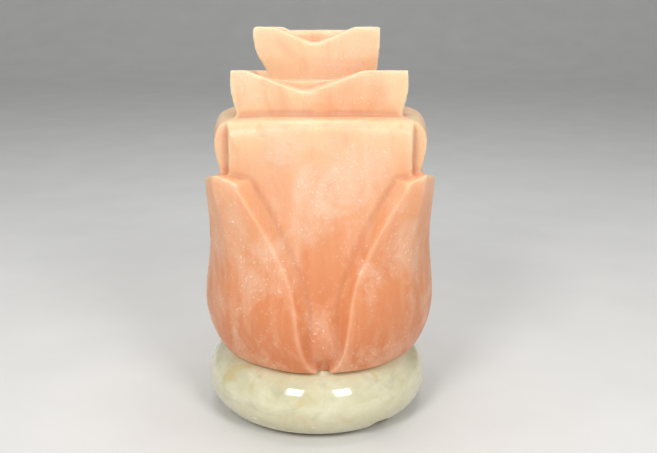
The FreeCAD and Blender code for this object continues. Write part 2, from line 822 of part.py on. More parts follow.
def make_clip_arm(number, azimuth):
    """A strip that stands on the plate's rim, bows out to the crystal's bore and turns in
    again at its tip. The outer face's reach leaves room for the strip's two corners."""
    half = d.clip_arm_width / 2
    touch = d.crystal_bore_radius - d.running_gap
    reach = root(touch * touch - half * half)
    outer = reach - d.clip_arm_bow_rise
    inner = outer - d.clip_sheet
    foot = plate_top + d.running_gap
    bow_start = foot + d.clip_arm_straight
    bow_end = bow_start + d.clip_arm_bow
    tip = bow_end + d.clip_arm_tip
    bow = (d.clip_arm_bow * d.clip_arm_bow / 4 + d.clip_arm_bow_rise * d.clip_arm_bow_rise) / (
        d.clip_arm_bow_rise * 2)
    arm = padded(f"clip_arm_{number}", [
        (inner, foot), (outer, foot), (outer, bow_start), (outer, bow_end),
        (outer - d.clip_arm_tip_inset, tip), (inner - d.clip_arm_tip_inset, tip),
        (inner, bow_end), (inner, bow_start),
    ], d.clip_arm_width, {2: (bow, 1), 6: (bow, -1)})
    return place(arm, turn=azimuth - 90.0)


# ---------------------------------------------------------------- nipple and locknut

nut_top = plate_bottom
nut_bottom = nut_top - d.nut_thickness
nipple_bottom = nut_bottom - d.nut_margin


def make_threaded_nipple():
    """The hollow stud that carries the holder; the cord enters through it."""
    top = nipple_bottom + d.nipple_length
    return place(turned("threaded_nipple", [
        (d.nipple_bore_radius, nipple_bottom), (d.nipple_radius, nipple_bottom),
        (d.nipple_radius, top), (d.nipple_bore_radius, top),
    ]))


def make_nipple_locknut():
    blank = doc.addObject("Part::Prism", "nut_blank")
    blank.Polygon = NUT_SIDES
    bind(blank, "Circumradius", d.nut_width / 2 / cosine(size(180.0 / NUT_SIDES)))
    bind(blank, "Height", d.nut_thickness)
    bore = doc.addObject("Part::Cylinder", "nut_bore")
    bind(bore, "Radius", d.nipple_radius + d.thread_clearance)
    bind(bore, "Height", d.nut_thickness)
    nut = doc.addObject("Part::Cut", "nipple_locknut")
    nut.Label = "nipple_locknut"
    nut.Base = blank
    nut.Tool = bore
    return place(nut, z=nut_bottom)


# ---------------------------------------------------------------- lamp holder

holder_shoulder = plate_top + d.cap_height
sleeve_top = holder_shoulder + d.sleeve_height
sleeve_inner = d.holder_radius - d.holder_wall
spigot_top = holder_shoulder + d.spigot_height
insert_radius = sleeve_inner - d.fit_clearance
insert_floor = spigot_top + d.insert_floor
insert_top = sleeve_top - d.sleeve_lip_height


def make_holder_cap():
    """Cup with a boss round the nipple and a spigot that the sleeve slides over."""
    hole = d.nipple_radius + d.thread_clearance
    boss = hole + d.cap_boss_wall
    floor = plate_top + d.cap_floor
    spigot = sleeve_inner - d.fit_clearance
    bore = spigot - d.spigot_wall
    return place(turned("holder_cap", [
        (hole, plate_top),
        (d.holder_radius - d.cap_chamfer, plate_top),
        (d.holder_radius, plate_top + d.cap_chamfer),
        (d.holder_radius, holder_shoulder),
        (spigot, holder_shoulder),
        (spigot, spigot_top),
        (bore, spigot_top),
        (bore, floor),
        (boss, floor),
        (boss, plate_top + d.cap_boss_height),
        (hole, plate_top + d.cap_boss_height),
    ]))


def make_holder_sleeve():
    lip = d.holder_radius - d.holder_wall - d.sleeve_lip
    return place(turned("holder_sleeve", [
        (sleeve_inner, holder_shoulder),
        (d.holder_radius, holder_shoulder),
        (d.holder_radius, sleeve_top - d.holder_wall),
        (d.holder_radius - d.holder_wall, sleeve_top),
        (lip, sleeve_top),
        (lip, insert_top),
        (sleeve_inner, insert_top),
    ]))


def make_holder_insert():
    """Ceramic cup that holds the contacts; its two screws enter from below."""
    bore = d.shell_bore_radius + d.shell_wall + d.fit_clearance
    body = turned("holder_insert", [
        (0, spigot_top), (insert_radius, spigot_top), (insert_radius, insert_top),
        (bore, insert_top), (bore, insert_floor), (0, insert_floor),
    ])
    for side, name in ((1, "right"), (-1, "left")):
        sketch = new_sketch(body, f"terminal_{name}_outline", "XY_Plane")
        centre = FreeCAD.Vector(float(d.terminal_spacing) / 2 * side, 0, 0)
        radius = d.terminal_screw_radius + d.plug_clearance
        circle = Part.Circle(centre, FreeCAD.Vector(0, 0, 1), float(radius))
        edge = sketch.addGeometry(circle)
        sketch.addConstraint(Sketcher.Constraint("PointOnObject", edge, 3, -1))
        across = d.terminal_spacing / 2 * side
        number = sketch.addConstraint(
            Sketcher.Constraint("DistanceX", -1, 1, edge, 3, float(across)))
        bind(sketch, f"Constraints[{number}]", across)
        number = sketch.addConstraint(Sketcher.Constraint("Radius", edge, float(radius)))
        bind(sketch, f"Constraints[{number}]", radius)
        cut = body.newObject("PartDesign::Pocket", f"terminal_{name}")
        cut.Profile = sketch
        cut.Reversed = True
        depth = spigot_top + d.terminal_screw_length + d.plug_clearance
        cut.Length = float(depth)
        bind(cut, "Length", depth)
    return place(body)


def make_terminal_screws():
    head_bottom = spigot_top - d.terminal_head_height
    tip = spigot_top + d.terminal_screw_length
    shank = d.terminal_screw_radius
    screws = []
    for side, name in ((1, "right"), (-1, "left")):
        screw = turned(f"terminal_screw_{name}", [
            (0, head_bottom), (d.terminal_head_radius, head_bottom),
            (d.terminal_head_radius, spigot_top), (shank, spigot_top),
            (shank, tip - shank), (0, tip),
        ])
        screws.append(place(screw, x=d.terminal_spacing / 2 * side))
    return group("terminal_screws", screws)


def make_screw_shell():
    """The plain cup that stands for the threaded brass shell."""
    outer = d.shell_bore_radius + d.shell_wall
    floor = insert_floor + d.shell_wall
    top = insert_top - d.shell_recess
    eye = d.shell_bore_radius - d.shell_flange
    return place(turned("screw_shell", [
        (eye, insert_floor), (outer, insert_floor), (outer, top),
        (d.shell_bore_radius, top), (d.shell_bore_radius, floor), (eye, floor),
    ]))


def make_centre_contact():
    """A springy strip: its foot lies on the insert's floor and its tongue rises to the
    middle, where the bulb's button presses on it."""
    thick = d.contact_strip
    reach = d.contact_reach
    crest = insert_floor + d.contact_rise
    strip = padded("centre_contact", [
        (-reach, insert_floor), (-(reach / 3), insert_floor),
        (reach / 4, crest - thick), (reach / 2, crest - thick),
        (reach / 2, crest), (size(0.0), crest), (-(reach / 2), insert_floor + thick),
        (-reach, insert_floor + thick),
    ], d.contact_width)
    return place(strip)


# ---------------------------------------------------------------- bulb

button_bottom = insert_floor + d.contact_rise + d.bulb_contact_gap
button_top = button_bottom + d.bulb_button_height
cap_bottom = button_top + d.bulb_insulator_height
cap_top = cap_bottom + d.bulb_cap_length
cap_inner = d.bulb_cap_radius - d.bulb_cap_wall
bulb_top = button_bottom + d.bulb_length
neck_radius = cap_inner - d.fit_clearance
neck_bottom = cap_top - d.bulb_neck_length / 2
neck_top = neck_bottom + d.bulb_neck_length
shoulder_top = neck_top + d.bulb_shoulder_length


def make_bulb_contact():
    radius = d.bulb_button_radius
    edge = d.bulb_button_height * 0.5
    return place(turned("bulb_contact", [
        (0, button_bottom), (radius - edge, button_bottom), (radius, button_bottom + edge),
        (radius, button_top), (0, button_top),
    ]))


def make_bulb_insulator():
    """Black glass ring between the button and the screw cap."""
    wide = d.bulb_cap_radius - d.bulb_insulator_flare
    return place(turned("bulb_insulator", [
        (0, button_top), (d.bulb_button_radius + d.bulb_insulator_flare, button_top),
        (wide, cap_bottom), (0, cap_bottom),
    ]))


def make_bulb_cap():
    """Screw cap, plain where its rolled thread runs, drawn in at its lower end."""
    narrow = d.bulb_cap_radius - d.bulb_cap_taper
    knee = cap_bottom + d.bulb_cap_taper
    wall = d.bulb_cap_wall
    return place(turned("bulb_cap", [
        (0, cap_bottom), (narrow, cap_bottom), (d.bulb_cap_radius, knee),
        (d.bulb_cap_radius, cap_top), (cap_inner, cap_top), (cap_inner, knee + wall),
        (narrow - wall, cap_bottom + wall), (0, cap_bottom + wall),
    ]))


def make_bulb_glass():
    """Pear-shaped blown glass with an even wall, open at its neck."""
    wall = d.bulb_glass_wall
    outer, neck = d.bulb_radius, neck_radius
    step = outer - neck
    rise = d.bulb_shoulder_length
    bow = (step * step + rise * rise) / (step * 2)
    crown_start = bulb_top - outer
    return place(turned("bulb_glass", [
        (neck, neck_bottom), (neck, neck_top), (outer, shoulder_top), (outer, crown_start),
        (0, bulb_top), (0, bulb_top - wall), (outer - wall, crown_start),
        (outer - wall, shoulder_top), (neck - wall, neck_top), (neck - wall, neck_bottom),
    ], {1: (bow, -1), 3: (outer, 1), 5: (outer - wall, -1), 7: (bow, 1)}))


stem_bottom = neck_bottom
stem_shoulder = stem_bottom + d.stem_height
stem_top = stem_shoulder + d.stem_top_height
lead_top = stem_top + d.lead_length


def make_bulb_stem():
    """Glass mount: a flare sealed in the neck, a rod and the press that holds the leads."""
    flare = neck_radius - d.bulb_glass_wall - d.fit_clearance
    flare_top = stem_bottom + d.stem_flare_height
    return place(turned("bulb_stem", [
        (0, stem_bottom), (flare, stem_bottom), (flare, flare_top), (d.stem_radius, flare_top),
        (d.stem_radius, stem_shoulder), (d.stem_top_radius, stem_shoulder),
        (d.stem_top_radius, stem_top), (0, stem_top),
    ]))


def make_bulb_leads():
    leads = []
    for side, name in ((1, "right"), (-1, "left")):
        lead = doc.addObject("Part::Cylinder", f"bulb_lead_{name}")
        bind(lead, "Radius", d.lead_radius)
        bind(lead, "Height", d.lead_length)
        leads.append(place(lead, x=d.filament_radius * side, z=stem_top))
    return group("bulb_leads", leads)


def make_bulb_filament():
    """An arch of fine wire that stands on the two leads."""
    arch = doc.addObject("Part::Torus", "bulb_filament")
    arch.Label = "bulb_filament"
    bind(arch, "Radius1", d.filament_radius)
    bind(arch, "Radius2", d.filament_wire_radius)
    arch.Angle3 = 180
    arch.Placement = FreeCAD.Placement(
        FreeCAD.Vector(0, 0, float(lead_top)),
        FreeCAD.Rotation(FreeCAD.Vector(1, 0, 0), 90),
    )
    bind(arch, "Placement.Base.z", lead_top)
    return arch


# ---------------------------------------------------------------- the whole lamp

SUB_PARTS = [
    make_stone_base(),
    make_felt_pads(),
    make_base_screws(),
    make_screw_washers(),
    make_screw_plugs(),
    make_salt_crystal(),
    make_clip_plate(),
    *[make_clip_arm(i + 1, azimuth) for i, azimuth in enumerate(arm_azimuths)],
    make_threaded_nipple(),
    make_nipple_locknut(),
    make_holder_cap(),
    make_holder_sleeve(),
    make_holder_insert(),
    make_terminal_screws(),
    make_screw_shell(),
    make_centre_contact(),
    make_bulb_contact(),
    make_bulb_insulator(),
    make_bulb_cap(),
    make_bulb_glass(),
    make_bulb_stem(),
    make_bulb_leads(),
    make_bulb_filament(),
]

doc.recompute()

faults = [thing.Label for thing in doc.Objects
          if "Invalid" in thing.State or "Error" in thing.State]
for part in SUB_PARTS:
    if part.Shape.isNull() or not part.Shape.isValid():
        faults.append(part.Label)
if faults:
    raise RuntimeError(f"these objects failed: {faults}")

os.makedirs("parts", exist_ok=True)
for part in SUB_PARTS:
    part.Shape.exportStep(f"parts/{part.Label}.step")
    box = part.Shape.BoundBox
    print(f"{part.Label}: {len(part.Shape.Solids)} solids, {part.Shape.Volume:.1f} mm3, "
          f"z {box.ZMin:.2f} to {box.ZMax:.2f}")
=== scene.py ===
import math

import bmesh
import bpy
import numpy as np
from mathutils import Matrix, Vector, noise


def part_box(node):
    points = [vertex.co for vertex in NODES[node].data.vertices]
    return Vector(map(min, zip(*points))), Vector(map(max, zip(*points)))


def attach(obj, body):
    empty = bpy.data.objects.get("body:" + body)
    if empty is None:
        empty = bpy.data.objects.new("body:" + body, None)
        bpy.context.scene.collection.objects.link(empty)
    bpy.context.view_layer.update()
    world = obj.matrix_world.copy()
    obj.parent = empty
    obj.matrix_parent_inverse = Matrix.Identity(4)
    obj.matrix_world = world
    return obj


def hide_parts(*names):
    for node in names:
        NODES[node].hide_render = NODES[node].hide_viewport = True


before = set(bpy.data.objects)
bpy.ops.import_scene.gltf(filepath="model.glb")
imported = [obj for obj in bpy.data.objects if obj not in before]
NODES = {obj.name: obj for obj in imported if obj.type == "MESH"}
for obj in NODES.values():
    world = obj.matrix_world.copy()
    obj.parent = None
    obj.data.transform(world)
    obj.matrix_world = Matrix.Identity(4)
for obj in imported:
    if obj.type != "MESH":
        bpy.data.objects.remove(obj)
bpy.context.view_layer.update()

# Salt crystal lamp: a rose-bud salt crystal on a polished stone ring, with its bulb, holder
# and spring clip inside. Metres, in the frame of the solids, the front towards -Y.

MM = 0.001
COLLECTION = bpy.context.scene.collection


# ---------------------------------------------------------------- camera, light, floor

CAMERA_PLACE = (0.86 * MM, -470.0 * MM, 233.5 * MM)
CAMERA_TILT = math.radians(15.92)  # below the horizon
SENSOR = 36.0
PHOTO_WIDTH = 657  # pixels
FOCAL_PIXELS = 905.0
LAMP_LEFT_OF_CENTRE = 10.0  # pixels
CAMERA_NEAR = 0.01


def add_camera():
    data = bpy.data.cameras.new("camera")
    data.sensor_width = SENSOR
    data.lens = SENSOR * FOCAL_PIXELS / PHOTO_WIDTH
    data.shift_x = LAMP_LEFT_OF_CENTRE / PHOTO_WIDTH
    data.clip_start = CAMERA_NEAR
    camera = bpy.data.objects.new("camera", data)
    camera.location = CAMERA_PLACE
    camera.rotation_euler = (math.pi / 2 - CAMERA_TILT, 0, 0)
    COLLECTION.objects.link(camera)
    bpy.context.scene.camera = camera


LAMP_MIDDLE = (0, 0, 0.1)
SOFTBOXES = [  # name, place, width and height, watts
    ("top_softbox", (0.0, 0.1, 0.95), (0.7, 0.6), 3.3),
    ("left_softbox", (-0.36, -0.75, 0.66), (0.26, 0.3), 3.9),
    ("right_softbox", (0.4, -0.72, 0.62), (0.26, 0.3), 3.1),
]
ROOM_COLOUR = (0.86, 0.88, 0.9, 1)
ROOM_STRENGTH = 0.34


def add_softbox(name, place, size, watts):
    data = bpy.data.lights.new(name, "AREA")
    data.shape = "RECTANGLE"
    data.size, data.size_y = size
    data.energy = watts
    light = bpy.data.objects.new(name, data)
    light.location = place
    aim = Vector(LAMP_MIDDLE) - Vector(place)
    light.rotation_euler = aim.to_track_quat("-Z", "Y").to_euler()
    COLLECTION.objects.link(light)


def add_studio():
    for softbox in SOFTBOXES:
        add_softbox(*softbox)
    world = bpy.data.worlds.new("studio")
    world.use_nodes = True
    background = world.node_tree.nodes["Background"]
    background.inputs["Color"].default_value = ROOM_COLOUR
    background.inputs["Strength"].default_value = ROOM_STRENGTH
    bpy.context.scene.world = world
    bpy.context.scene.view_settings.view_transform = "Standard"


FLOOR_HALF, FLOOR_BACK, FLOOR_RISE, FLOOR_BEND = 3.0, 2.2, 3.0, 0.8
FLOOR_STEPS = 12  # in the bend


def add_floor():
    """A pale sheet that curves up behind the lamp."""
    flat = FLOOR_BACK - FLOOR_BEND
    outline = [(-FLOOR_HALF, 0.0), (flat, 0.0)]
    for step in range(1, FLOOR_STEPS + 1):
        angle = math.pi / 2 * step / FLOOR_STEPS
        outline.append((flat + FLOOR_BEND * math.sin(angle),
                        FLOOR_BEND - FLOOR_BEND * math.cos(angle)))
    outline.append((FLOOR_BACK, FLOOR_RISE))
    mesh = bpy.data.meshes.new("floor")
    points = [(x, y, z) for y, z in outline for x in (-FLOOR_HALF, FLOOR_HALF)]
    faces = [(2 * i, 2 * i + 1, 2 * i + 3, 2 * i + 2) for i in range(len(outline) - 1)]
    mesh.from_pydata(points, [], faces)
    mesh.shade_smooth()
    floor = bpy.data.objects.new("floor", mesh)
    COLLECTION.objects.link(floor)
    paper = Shader("studio_paper", Roughness=0.75)
    paper.colour(paper.ramp(paper.noise(60.0), [(0.3, (232, 231, 228)), (0.7, (237, 236, 233))]))
    mesh.materials.append(paper.material)


# ---------------------------------------------------------------- materials

def linear(colour):
    """A colour of a screen, 0 to 255, as linear red, green, blue and full alpha."""
    parts = [c / 255 for c in colour]
    return (*[p / 12.92 if p <= 0.04045 else ((p + 0.055) / 1.055) ** 2.4 for p in parts], 1.0)


class Shader:
    """A Principled material to which procedural detail is added one call at a time. Sizes
    of noise and cells are in millimetres on the object."""

    def __init__(self, name, **sockets):
        self.material = bpy.data.materials.new(name)
        self.material.use_nodes = True
        self.tree = self.material.node_tree
        self.surface = self.tree.nodes["Principled BSDF"]
        self.place = self.tree.nodes.new("ShaderNodeTexCoord").outputs["Object"]
        for socket, value in sockets.items():
            self.set(socket.replace("_", " "), value)

    def set(self, socket, value):
        """Sets or links one socket of the surface shader."""
        self.fill(self.surface.inputs[socket], value)

    def fill(self, socket, value):
        if isinstance(value, bpy.types.NodeSocket):
            self.tree.links.new(value, socket)
        else:
            socket.default_value = value

    def add(self, kind, inputs=None, **settings):
        node = self.tree.nodes.new("ShaderNode" + kind)
        for name, value in settings.items():
            setattr(node, name, value)
        for key, value in (inputs or {}).items():
            self.fill(node.inputs[key], value)
        return node

    def stretched(self, size, stretch):
        """Coordinates in which one cell is as large as size times stretch."""
        scale = tuple(1 / (size * MM * factor) for factor in stretch)
        node = self.add("Mapping", {"Vector": self.place, "Scale": scale})
        return node.outputs["Vector"]

    def noise(self, size, stretch=(1, 1, 1), detail=3.0, roughness=0.5, warp=0.0, offset=0.0):
        place = self.stretched(size, stretch)
        if offset:
            place = self.add("VectorMath", {0: place, 1: (offset,) * 3},
                             operation="ADD").outputs[0]
        return self.add("TexNoise", {"Vector": place, "Scale": 1.0, "Detail": detail,
                                     "Roughness": roughness,
                                     "Distortion": warp}).outputs["Fac"]

    def cells(self, size, stretch=(1, 1, 1), feature="F1", warp=0.0):
        """Distance within cells: to their points, or to their edges."""
        place = self.stretched(size, stretch)
        if warp:
            shift = self.add("TexNoise", {"Vector": place, "Scale": 0.7, "Detail": 3.0})
            push = self.add("VectorMath", {0: shift.outputs["Color"], 1: (warp,) * 3},
                            operation="MULTIPLY").outputs[0]
            place = self.add("VectorMath", {0: place, 1: push}, operation="ADD").outputs[0]
        return self.add("TexVoronoi", {"Vector": place, "Scale": 1.0},
                        feature=feature).outputs["Distance"]

    def attribute(self, name):
        return self.add("Attribute", attribute_name=name).outputs["Fac"]

    def height(self, low, high):
        """0 at one height of the object and 1 at another, in millimetres."""
        z = self.add("SeparateXYZ", {"Vector": self.place}).outputs["Z"]
        return self.within(z, low * MM, high * MM)

    def near(self, place, far, close):
        """1 close to a point of the object and 0 far from it, in millimetres."""
        away = self.add("VectorMath", {0: self.place, 1: tuple(c * MM for c in place)},
                        operation="DISTANCE").outputs["Value"]
        return self.within(away, far * MM, close * MM)

    def within(self, value, low, high, to_low=0.0, to_high=1.0):
        """The value's share of a range, held at the ends."""
        return self.add("MapRange", {"Value": value, "From Min": low, "From Max": high,
                                     "To Min": to_low, "To Max": to_high}).outputs["Result"]

    def maths(self, operation, first, second):
        return self.add("Math", {0: first, 1: second}, operation=operation).outputs[0]

    def times(self, first, second):
        return self.maths("MULTIPLY", first, second)

    def ramp(self, value, stops):
        node = self.add("ValToRGB", {"Fac": value})
        elements = node.color_ramp.elements
        while len(elements) < len(stops):
            elements.new(0.5)
        for element, (position, colour) in zip(elements, stops):
            element.position = position
            element.color = linear(colour)
        return node.outputs["Color"]

    def mix(self, base, other, share, blend="MIX"):
        """The base colour with another laid over it; the colours are sockets or 0 to 255."""
        node = self.add("Mix", data_type="RGBA", blend_type=blend)
        for key, value in ((0, share), (6, base), (7, other)):
            if isinstance(value, tuple):
                value = linear(value)
            self.fill(node.inputs[key], value)
        return node.outputs[2]

    def colour(self, value):
        self.set("Base Color", value)

    def relief(self, height, depth):
        """Bump of a depth in millimetres."""
        node = self.add("Bump", {"Height": height, "Distance": depth * MM})
        self.set("Normal", node.outputs["Normal"])


STONE_TOP = 36.5  # millimetres, where the crystal stands
LAMP_TOP = 207.3
SALT_TONE_AND_TOP_LIGHT = [  # from the crystal's foot up to its top; paler upwards, partly as painted light from above
    (0.0, (212, 126, 72)), (0.25, (230, 150, 98)), (0.55, (242, 178, 132)),
    (0.74, (250, 210, 168)), (1.0, (250, 210, 172)),
]
RUSTY_PLACE = (14, -43, 176)  # low on the third tier's front
MILKY_PLACE = (2, -52, 142)  # on the second tier's front


def salt():
    """Peach rock salt: deeper and redder below and paler above, partly as painted light from
    above, with faint upright streaks, rusty patches, milky clouds and white specks. Its edges
    are painted paler, as wear and as a painted highlight, and its hollows darker, as painted
    shade."""
    s = Shader("rock_salt", Subsurface_Weight=0.8, Subsurface_Scale=7 * MM, IOR=1.54)
    s.set("Subsurface Radius", (1.0, 0.5, 0.28))
    # the height ramp: the salt's own tone, made paler towards the top as painted light from
    # above
    tint = s.ramp(s.height(STONE_TOP, LAMP_TOP), SALT_TONE_AND_TOP_LIGHT)
    inclusions = s.noise(24.0, (1, 1, 1.5), detail=5.0, warp=0.9, offset=7.3)
    tint = s.mix(tint, (222, 122, 74), s.within(inclusions, 0.55, 0.76, 0.0, 0.38))
    rust = s.times(s.near(RUSTY_PLACE, 24, 5), s.within(inclusions, 0.3, 0.55))
    tint = s.mix(tint, (240, 150, 90), s.times(rust, 0.42))
    streaks = s.noise(5.0, (1, 1, 9), detail=5.0, warp=0.4)
    tint = s.mix(tint, (252, 216, 182), s.within(streaks, 0.52, 0.8, 0.0, 0.22))
    tint = s.mix(tint, (212, 128, 82), s.within(streaks, 0.46, 0.25, 0.0, 0.18))
    clouds = s.noise(20.0, (1, 1, 1.4), detail=6.0, roughness=0.62, warp=0.5, offset=2.1)
    milky = s.within(clouds, 0.46, 0.72)
    tint = s.mix(tint, (248, 216, 188), s.times(milky, 0.55))
    pale = s.times(s.near(MILKY_PLACE, 38, 10), s.within(clouds, 0.34, 0.6))
    tint = s.mix(tint, (250, 220, 194), s.times(pale, 0.5))
    specks = s.within(s.noise(1.2, detail=2.0), 0.62, 0.72)
    dusting = s.maths("MAXIMUM", s.within(clouds, 0.42, 0.62, 0.1, 0.7), pale)
    tint = s.mix(tint, (255, 242, 228), s.times(specks, dusting))
    healed = s.within(s.cells(46.0, (1, 1, 3.0), "DISTANCE_TO_EDGE", warp=0.7), 0.01, 0.0)
    veins = s.times(healed, s.within(clouds, 0.55, 0.65))
    tint = s.mix(tint, (255, 234, 212), s.times(veins, 0.25))
    # painted highlight, with some wear: the convex edges are drawn paler
    tint = s.mix(tint, (250, 222, 194), s.times(s.attribute("edge"), 0.42))
    # painted shade: the hollows are drawn darker and redder
    tint = s.mix(tint, (208, 116, 68), s.times(s.attribute("hollow"), 0.35))
    s.colour(tint)
    s.set("Roughness", s.within(s.noise(6.0, detail=5.0), 0.3, 0.7, 0.28, 0.48))
    grain = s.maths("ADD", s.noise(0.9, detail=3.0), s.times(streaks, 0.7))
    s.relief(grain, 0.2)
    return s.material


NO_FOSSILS, MOST_FOSSILS = 24.0, 6.0  # heights above the table, millimetres


def marble():
    """Polished cream-green stone: cloudy, with honey patches, and pale flecks low down."""
    s = Shader("polished_stone", Subsurface_Weight=0.2, Subsurface_Scale=3 * MM, IOR=1.5,
               Coat_Weight=0.7, Coat_Roughness=0.04)
    s.set("Subsurface Radius", (1.0, 0.9, 0.6))
    tint = s.ramp(s.noise(20.0, (1, 1, 0.6), detail=6.0, roughness=0.6, warp=0.6), [
        (0.3, (218, 213, 176)), (0.52, (230, 225, 190)), (0.72, (238, 235, 210)),
    ])
    honey = s.noise(15.0, detail=3.0, warp=1.0, offset=4.4)
    tint = s.mix(tint, (216, 192, 126), s.within(honey, 0.56, 0.74, 0.0, 0.55))
    grey = s.noise(11.0, (1, 1, 0.6), detail=4.0, warp=0.8, offset=9.1)
    tint = s.mix(tint, (196, 196, 168), s.within(grey, 0.55, 0.75, 0.0, 0.5))
    low = s.height(NO_FOSSILS, MOST_FOSSILS)
    tint = s.mix(tint, (176, 168, 138), s.times(low, 0.55))
    flecks = s.within(s.cells(5.5, (1.6, 1.6, 0.7), warp=0.6), 0.24, 0.1)
    shells = s.times(flecks, s.within(grey, 0.42, 0.6))
    fossils = s.times(shells, s.times(low, 0.85))
    tint = s.mix(tint, (244, 241, 224), fossils)
    veins = s.within(s.cells(30.0, (1, 1, 0.5), "DISTANCE_TO_EDGE", warp=0.8), 0.02, 0.0)
    tint = s.mix(tint, (198, 190, 150), s.times(veins, 0.18))
    scratch = s.within(s.cells(9.0, (4, 4, 0.25), "DISTANCE_TO_EDGE", warp=0.2), 0.006, 0.0)
    tint = s.mix(tint, (186, 176, 140), s.times(scratch, 0.15))
    s.colour(tint)
    s.set("Roughness", s.within(s.noise(0.5, (40, 1, 1), detail=2.0), 0.6, 0.75, 0.12, 0.28))
    s.relief(s.noise(9.0, detail=2.0), 0.05)
    return s.material


METAL_GRAIN, METAL_RELIEF = 0.35, 0.012  # millimetres
METAL_UNEVEN = 0.16  # spread of the roughness


def brushed(name, bright, dark, roughness, grain=(12, 1, 1)):
    """Sheet or bar metal with a fine drawn grain."""
    s = Shader(name, Metallic=1.0)
    lines = s.noise(METAL_GRAIN, grain, detail=4.0)
    s.colour(s.ramp(lines, [(0.3, dark), (0.7, bright)]))
    s.set("Roughness", s.within(lines, 0.3, 0.7, roughness, roughness + METAL_UNEVEN))
    s.relief(lines, METAL_RELIEF)
    return s.material


def moulded(name, bright, dark, roughness, grain_size, depth, **sockets):
    """Moulded or fired material with a fine grain and a slight mottle."""
    s = Shader(name, **sockets)
    s.colour(s.ramp(s.noise(7.0, detail=5.0), [(0.35, dark), (0.65, bright)]))
    grain = s.noise(grain_size, detail=3.0)
    s.set("Roughness", s.within(grain, 0.3, 0.7, roughness, roughness + 0.15))
    s.relief(grain, depth)
    return s.material


def felt():
    s = Shader("pressed_felt", Sheen_Weight=0.6, Sheen_Roughness=0.6)
    fibres = s.noise(0.35, (4, 1, 1), detail=5.0, warp=2.0)
    s.colour(s.ramp(fibres, [(0.3, (52, 50, 47)), (0.7, (92, 88, 82))]))
    s.set("Roughness", s.within(fibres, 0.3, 0.7, 0.85, 1.0))
    s.relief(fibres, 0.15)
    return s.material


def glass(name, tint, roughness):
    s = Shader(name, Transmission_Weight=1.0, IOR=1.47)
    seeds = s.noise(5.0, detail=3.0)
    darker = tuple(c - 6 for c in tint)
    s.colour(s.ramp(seeds, [(0.4, darker), (0.6, tint)]))
    s.set("Roughness", s.within(seeds, 0.3, 0.7, roughness, roughness + 0.02))
    s.relief(seeds, 0.02)
    return s.material


# ---------------------------------------------------------------- mesh tools

WELD = 1e-6  # corners nearer than this are one
ON_AXIS = 1e-7


def new_piece(name, mesh, body, material, node):
    """An object of the lamp that rides on a body and stands for a node's solids."""
    piece = bpy.data.objects.new(name, mesh)
    COLLECTION.objects.link(piece)
    mesh.materials.clear()
    mesh.materials.append(material)
    mesh.shade_smooth()
    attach(piece, body)
    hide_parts(node)
    return piece


def dense(profile, step):
    """The points of an outline with more put in, so that none lie further apart."""
    points = [profile[0]]
    for (r0, z0), (r1, z1) in zip(profile, profile[1:]):
        count = max(1, math.ceil(math.hypot(r1 - r0, z1 - z0) / step))
        points += [(r0 + (r1 - r0) * i / count, z0 + (z1 - z0) * i / count)
                   for i in range(1, count + 1)]
    return points


def add_turned(mesh, profile, sides, centre=(0, 0), shape=None):
    """Adds a surface turned from (radius, height) points to a bmesh. Shape may move each
    point: it gets its radius, angle and height, and gives its radius and height."""
    rings = []
    for radius, z in profile:
        ring = []
        for i in range(sides if radius > ON_AXIS else 1):
            angle = 2 * math.pi * i / sides
            r, height = shape(radius, angle, z) if shape else (radius, z)
            ring.append(mesh.verts.new((centre[0] + r * math.cos(angle),
                                        centre[1] + r * math.sin(angle), height)))
        rings.append(ring)
    for lower, upper in zip(rings, rings[1:]):
        for i in range(sides):
            j = (i + 1) % sides
            corners = [lower[i % len(lower)], lower[j % len(lower)],
                       upper[j % len(upper)], upper[i % len(upper)]]
            corners = list(dict.fromkeys(corners))
            if len(corners) > 2:
                mesh.faces.new(corners)


def add_piece(name, mesh, body, material, node):
    """Makes a piece of the lamp out of a bmesh, which it uses up."""
    bmesh.ops.recalc_face_normals(mesh, faces=mesh.faces)
    data = bpy.data.meshes.new(name)
    mesh.to_mesh(data)
    mesh.free()
    return new_piece(name, data, body, material, node)


def islands(node):
    """(lowest corner, highest corner) of each separate solid of a node, in the order of
    their angles round the lamp."""
    mesh = bmesh.new()
    mesh.from_mesh(NODES[node].data)
    bmesh.ops.remove_doubles(mesh, verts=mesh.verts, dist=WELD)
    left, boxes = set(mesh.verts), []
    while left:
        queue, points = [left.pop()], []
        while queue:
            vert = queue.pop()
            points.append(vert.co.copy())
            for edge in vert.link_edges:
                other = edge.other_vert(vert)
                if other in left:
                    left.remove(other)
                    queue.append(other)
        boxes.append((Vector([min(p[k] for p in points) for k in range(3)]),
                      Vector([max(p[k] for p in points) for k in range(3)])))
    mesh.free()
    return sorted(boxes, key=lambda box: math.atan2(box[0].y + box[1].y, box[0].x + box[1].x))


def smooth_step(value, low, high):
    """0 below one value and 1 above another, with a smooth rise between them."""
    share = min(max((value - low) / (high - low), 0.0), 1.0)
    return share * share * (3 - 2 * share)


# ---------------------------------------------------------------- the crystal

CRYSTAL_GRID = 0.85 * MM
RUB_PASSES = 5  # how often its edges are rubbed
BORE_ROOM = 34 * MM  # the bore and the screws' plugs lie within this radius
FOOT_SPREAD = 0.085  # share by which the carving widens where it meets the stone
FOOT_FADE = 4.0 * MM
FAIR_PASSES, BULGE_PASSES, EDGE_FADE = 6, 2, 3
EDGE_BULGE, EDGE_START = 0.3 * CRYSTAL_GRID, 0.2  # a bulge this high is a full edge
HOLLOW_BULGE, HOLLOW_START = 0.22 * CRYSTAL_GRID, 0.25
CHIP_SIZE, CHIP_DEPTH = 3.2 * MM, 0.35 * MM
CARVING = [  # size and depth of each kind of unevenness, and its upright stretch
    (24.0 * MM, 0.55 * MM, 1.6),
    (7.0 * MM, 0.22 * MM, 2.2),
    (2.4 * MM, 0.10 * MM, 1.2),
]


